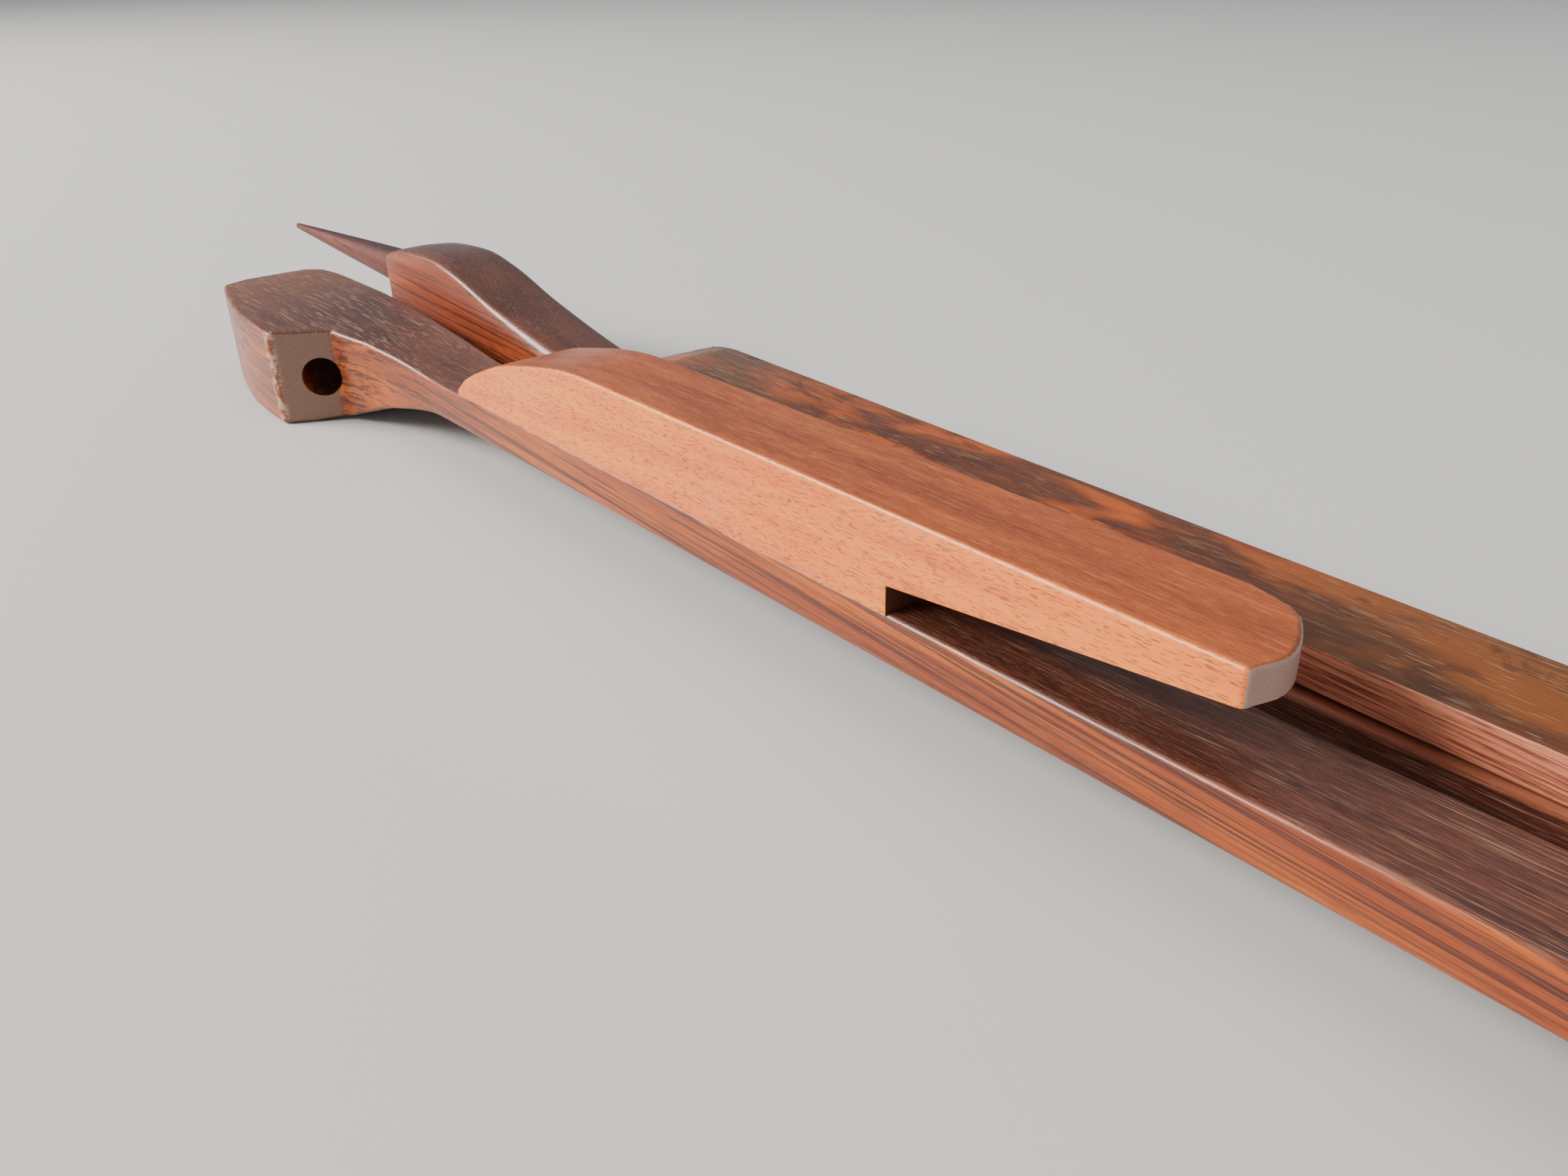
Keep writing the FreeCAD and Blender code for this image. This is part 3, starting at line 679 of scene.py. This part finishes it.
def dark_hardwood(name, seed, pores=1.0, tint=(1.0, 1.0, 1.0), gloss=1.0, front_head=False,
                  rear_arm=False):
    """Dark oiled wood: streaked orange-brown edges and dark flats, partly the grain's own colour and
    partly painted light and shade, with pale waxed pores and dull ends.
    """
    def shade(*rgb):
        return colour(*(min(255, value * part) for value, part in zip(rgb, tint)))

    wood = Finish(name, coat=0.42 * gloss, coat_roughness=0.2)
    side = wood.facing("Y").size().over(0.45, 0.85)
    if rear_arm:
        # painted shade: beyond 120 to 200 mm the rear shaft's near face loses the lit orange and
        # keeps the darker flat colour, as the front arm shades it
        side = side * (1 - wood.past(120, 200))
    end = wood.facing("X").size().over(0.7, 0.85)
    slope = (0, -0.045, 0.0)
    broad = wood.noise((14, 120, 160), (seed, 0, 0), 2.0, 0.5, 0.6)
    streak = wood.noise((12, 1100, 1500), (seed + 3, 0, 0), 4.0, 0.6, 0.4, slope)
    vein = wood.noise((8, 420, 700), (seed + 5, 0, 0), 2.0, 0.5, 0.9, slope).over(0.56, 0.6)
    fibre = wood.noise((70, 5200, 6000), (seed + 7, 0, 0), 2.0, 0.6, 0.0, slope)
    # partly painted light and shade: flats get the darker colour and faces towards ±Y the brighter
    # orange, beyond the grain's own difference
    shaded_flat_grain = wood.blend(broad.over(0.35, 0.65), shade(64, 33, 26), shade(88, 49, 38))
    lit_edge_grain = wood.blend(broad.over(0.3, 0.6), shade(180, 88, 24), shade(140, 62, 26))
    base = wood.blend(side, shaded_flat_grain, lit_edge_grain)
    if front_head:
        far = 1 - wood.past(-5, 60)
        base = wood.blend(far * 0.75 * (1 - side), base, shade(112, 60, 26))
    base = wood.blend(streak.over(0.5, 0.64) * (0.2 + side * 0.55), base, shade(88, 42, 24))
    base = wood.blend(vein * side * 0.75, base, shade(56, 28, 26))
    base = wood.blend(fibre.over(0.45, 0.75) * 0.2, base, shade(184, 112, 76))
    dash = wood.noise((110, 6600, 6600), (seed + 11, 0, 0), 0.0, 0.4, 0.0, (0, 0.0, -0.012))
    dash = dash.over(0.62, 0.72)
    gate = wood.noise((20, 240, 240), (seed + 13, 0, 0), 1.0, 0.5).over(0.2, 0.65) * 0.36
    if front_head:
        # the head's own pores are coarser and closer
        near_head = 1 - wood.past(80, 140)
        coarse = wood.noise((100, 1900, 1900), (seed + 12, 0, 0), 0.0, 0.4, 0.0, (0, 0.0, -0.03))
        dash = dash * (1 - near_head) + coarse.over(0.6, 0.7) * near_head
    waxed = dash * gate * (1 - side * 0.85) * (1 - end) * pores
    base = wood.blend(waxed, base, shade(190, 150, 120))
    groove = wood.noise((90, 5000, 5000), (seed + 17, 0, 0), 1.0, 0.5, 0.0, slope).over(0.6, 0.7)
    base = wood.blend(groove * 0.35, base, shade(50, 26, 22))
    speck = wood.noise((2600, 2600, 2600), (seed, 0, 0), 2.0, 0.6)
    end_grain = (shade(130, 92, 72), shade(168, 126, 102))
    if front_head:
        end_grain = (shade(104, 78, 64), shade(146, 110, 92))
    base = wood.blend(end, base, wood.blend(speck, *end_grain))
    if front_head:
        base = rubbed_corner(wood, base, shade(226, 190, 156))
        base = plug_mark(wood, base, side, shade(70, 30, 20))
    if rear_arm:
        # painted highlight: a pale band along the rolled near edge of the shaft, where the lamp's
        # soft highlight lies
        turn = wood.facing("Y").size()
        painted_roll_highlight = turn.over(0.2, 0.5) * (1 - turn.over(0.7, 0.95)) * wood.past(200, 280)
        base = wood.blend(painted_roll_highlight * (0.45 + broad * 0.4), base, shade(206, 128, 96))
    rough = 0.36 + (1 - gloss) * 0.2 + fibre * 0.16 + waxed * 0.25 + end * 0.25
    return wood.done(base, rough, fibre * 0.35 - groove * 0.8 - waxed * 0.3, 0.08)


def beech(name):
    """Steamed beech: orange side with dark ray flecks, grey-brown sawn end; the top is painted darker
    as shade and the sides brighter as lit.
    """
    wood = Finish(name, coat=0.35, coat_roughness=0.24)
    side = wood.facing("Y").size().over(0.4, 0.8)
    end = wood.facing("X").over(0.55, 0.8) * wood.past(315, 325)
    slope = (0, 0.03, 0.0)
    broad = wood.noise((18, 170, 210), (2.0, 0, 0), 3.0, 0.55, 0.5, slope)
    band = wood.noise((7, 500, 900), (3.0, 0, 0), 3.0, 0.6, 0.4, slope)
    fibre = wood.noise((110, 4200, 5200), (4.0, 0, 0), 3.0, 0.6, 0.0, slope)
    fleck = wood.noise((620, 5600, 6400), (6.0, 0, 0), 0.0, 0.5, 0.0, slope).over(0.62, 0.72)
    # painted light and shade: the top gets a darker shaded colour and faces towards ±Y a brighter lit
    # orange
    shaded_flat_grain = wood.blend(broad.over(0.3, 0.7), colour(160, 76, 38), colour(128, 58, 32))
    side_face = wood.blend(broad.over(0.3, 0.7), colour(250, 138, 52), colour(232, 108, 44))
    base = wood.blend(side, shaded_flat_grain, side_face)
    base = wood.blend(band.over(0.45, 0.7) * 0.35, base, colour(196, 104, 54))
    base = wood.blend(fibre.over(0.45, 0.75) * 0.3, base, colour(254, 160, 74))
    base = wood.blend(fleck * (0.45 + side * 0.2), base, colour(104, 46, 30))
    stain = wood.noise((45, 60, 120), (8.0, 0, 0), 3.0, 0.6, 0.5).over(0.62, 0.75)
    base = wood.blend(stain * 0.3, base, colour(130, 70, 50))
    bruise = wood.noise((90, 130, 60), (5.0, 0, 0), 2.0, 0.6, 0.4).over(0.62, 0.72) * side
    base = wood.blend(bruise * 0.22, base, colour(206, 120, 100))
    speck = wood.noise((2400, 2400, 2400), (0, 0, 0), 2.0, 0.6)
    base = wood.blend(end, base, wood.blend(speck, colour(158, 126, 114), colour(188, 154, 140)))
    # painted shade: the slot's inner end wall is painted dark where the light does not reach
    painted_slot_shade = wood.facing("X").over(0.6, 0.8) * (1 - wood.past(300, 310))
    base = wood.blend(painted_slot_shade * 0.9, base, colour(62, 44, 34))
    rough = 0.36 + fibre * 0.14 + end * 0.3
    return wood.done(base, rough, fibre * 0.5 - fleck * 0.5, 0.05)


def amber_hardwood(name):
    """Old varnish over close grain: grey-brown rubbed end, stained amber, then dull brown."""
    wood = Finish(name, coat=0.3, coat_roughness=0.24)
    side = wood.facing("Y").size().over(0.4, 0.8)
    broad = wood.noise((22, 90, 130), (1.0, 0, 0), 3.0, 0.55, 0.4)
    fibre = wood.noise((80, 4200, 5000), (3.0, 0, 0), 3.0, 0.6)
    streak = wood.noise((26, 1900, 2600), (5.0, 0, 0), 4.0, 0.62, 0.5, (0, -0.03, 0.0))
    far = 1 - wood.past(170, 220)
    near = wood.past(290, 350)
    top_face = wood.blend(broad.over(0.38, 0.56), colour(176, 78, 8), colour(88, 42, 16))
    dull = wood.blend(broad.over(0.36, 0.6), colour(110, 64, 22), colour(72, 42, 20))
    top_face = wood.blend(near * 0.85, top_face, dull)
    worn = wood.blend(streak.over(0.4, 0.65), colour(104, 78, 60), colour(56, 40, 32))
    top_face = wood.blend(far * broad.over(0.2, 0.45) * 0.85, top_face, worn)
    side_face = wood.blend(streak.over(0.4, 0.62), colour(200, 122, 92), colour(116, 60, 50))
    base = wood.blend(side, top_face, side_face)
    base = wood.blend(fibre.over(0.45, 0.75) * 0.18, base, colour(190, 120, 66))
    blot = wood.noise((60, 110, 110), (7.0, 0, 0), 4.0, 0.65, 0.8).over(0.54, 0.62)
    base = wood.blend(blot * 0.5 * (1 - side), base, colour(64, 34, 22))
    scratch = wood.noise((180, 5200, 5200), (9.0, 0, 0), 0.0, 0.4, 0.0, (0, 0, 0.02))
    scratch = scratch.over(0.7, 0.76)
    base = wood.blend(scratch * 0.32, base, colour(204, 170, 130))
    rough = 0.34 + fibre * 0.16 + blot * 0.12
    return wood.done(base, rough, fibre * 0.4 + streak * 0.3 - scratch * 0.3, 0.06)


def aged_brass(name):
    """Brass gone brown in clouds, with brighter rubbed lines."""
    metal = Finish(name, metallic=1.0)
    cloud = metal.noise((160, 160, 160), (0, 0, 0), 4.0, 0.6)
    rub = metal.noise((900, 900, 2600), (2.0, 0, 0), 2.0, 0.5)
    base = metal.blend(cloud.over(0.35, 0.65), colour(172, 138, 78), colour(96, 72, 46))
    base = metal.blend(rub.over(0.6, 0.75) * 0.3, base, colour(206, 178, 116))
    return metal.done(base, 0.3 + cloud * 0.25, rub * 0.4 + cloud * 0.4, 0.04)


# ---- floor, light and camera ---------------------------------------------------------------
def stage():
    """Plain pale floor."""
    bm = bmesh.new()
    bmesh.ops.create_grid(bm, x_segments=2, y_segments=2, size=15.0)
    ground = piece("floor", bm, place=False)
    pale = Finish("pale_floor", roughness=0.75)
    tone = pale.noise((3, 3, 3), detail=2.0)
    grey = pale.blend(tone * 0.2, colour(206, 205, 203), colour(198, 197, 196))
    ground.data.materials.append(pale.done(grey))


def lamp(name, place, aim, size, power, tint):
    """A rectangular area light, pointed at aim."""
    light = bpy.data.lights.new(name, "AREA")
    light.shape = "RECTANGLE"
    light.size, light.size_y = size
    light.energy = power
    light.color = tint
    obj = bpy.data.objects.new(name, light)
    bpy.context.scene.collection.objects.link(obj)
    obj.location = place
    obj.rotation_euler = (Vector(aim) - Vector(place)).to_track_quat("-Z", "Y").to_euler()


def lights():
    """A broad window light from the heads' side, soft light from above and a weak near fill."""
    lamp("window", (-1.68, -1.98, 1.5), (0.02, 0.0, 0.02), (1.9, 0.95), 196.0, (1.0, 0.96, 0.9))
    lamp("soft_top", (0.3, 0.6, 2.6), (0.0, 0.0, 0.0), (2.4, 2.4), 20.0, (0.96, 0.98, 1.0))
    lamp("near_fill", (2.2, -1.1, 0.8), (0.0, 0.0, 0.02), (1.2, 1.2), 12.0, (1.0, 1.0, 1.0))
    world = bpy.data.worlds.new("studio")
    bpy.context.scene.world = world
    world.use_nodes = True
    sky = world.node_tree.nodes["Background"]
    sky.inputs["Color"].default_value = (0.92, 0.95, 1.0, 1.0)
    sky.inputs["Strength"].default_value = 0.36


def camera():
    """Low over the table, looking along the arms to their heads."""
    right = Vector((0.6335, 0.7734, -0.0237))
    down = Vector((0.3422, -0.3076, -0.8879))
    back = down.cross(right)
    lens = bpy.data.cameras.new("camera")
    lens.sensor_width = 36.0
    lens.lens = 29.27
    lens.clip_start = 0.01
    obj = bpy.data.objects.new("camera", lens)
    bpy.context.scene.collection.objects.link(obj)
    spot = ZERO + Vector((418.0, -127.3, 110.0)) * MM
    turn = Matrix((right, -down, back)).transposed()
    obj.matrix_world = Matrix.Translation(spot) @ turn.to_4x4()
    bpy.context.scene.camera = obj


front_arm()
keeper_block()
rear_arm()
top_bar()
spike()
pegs()
hardware()
stage()
lights()
camera()
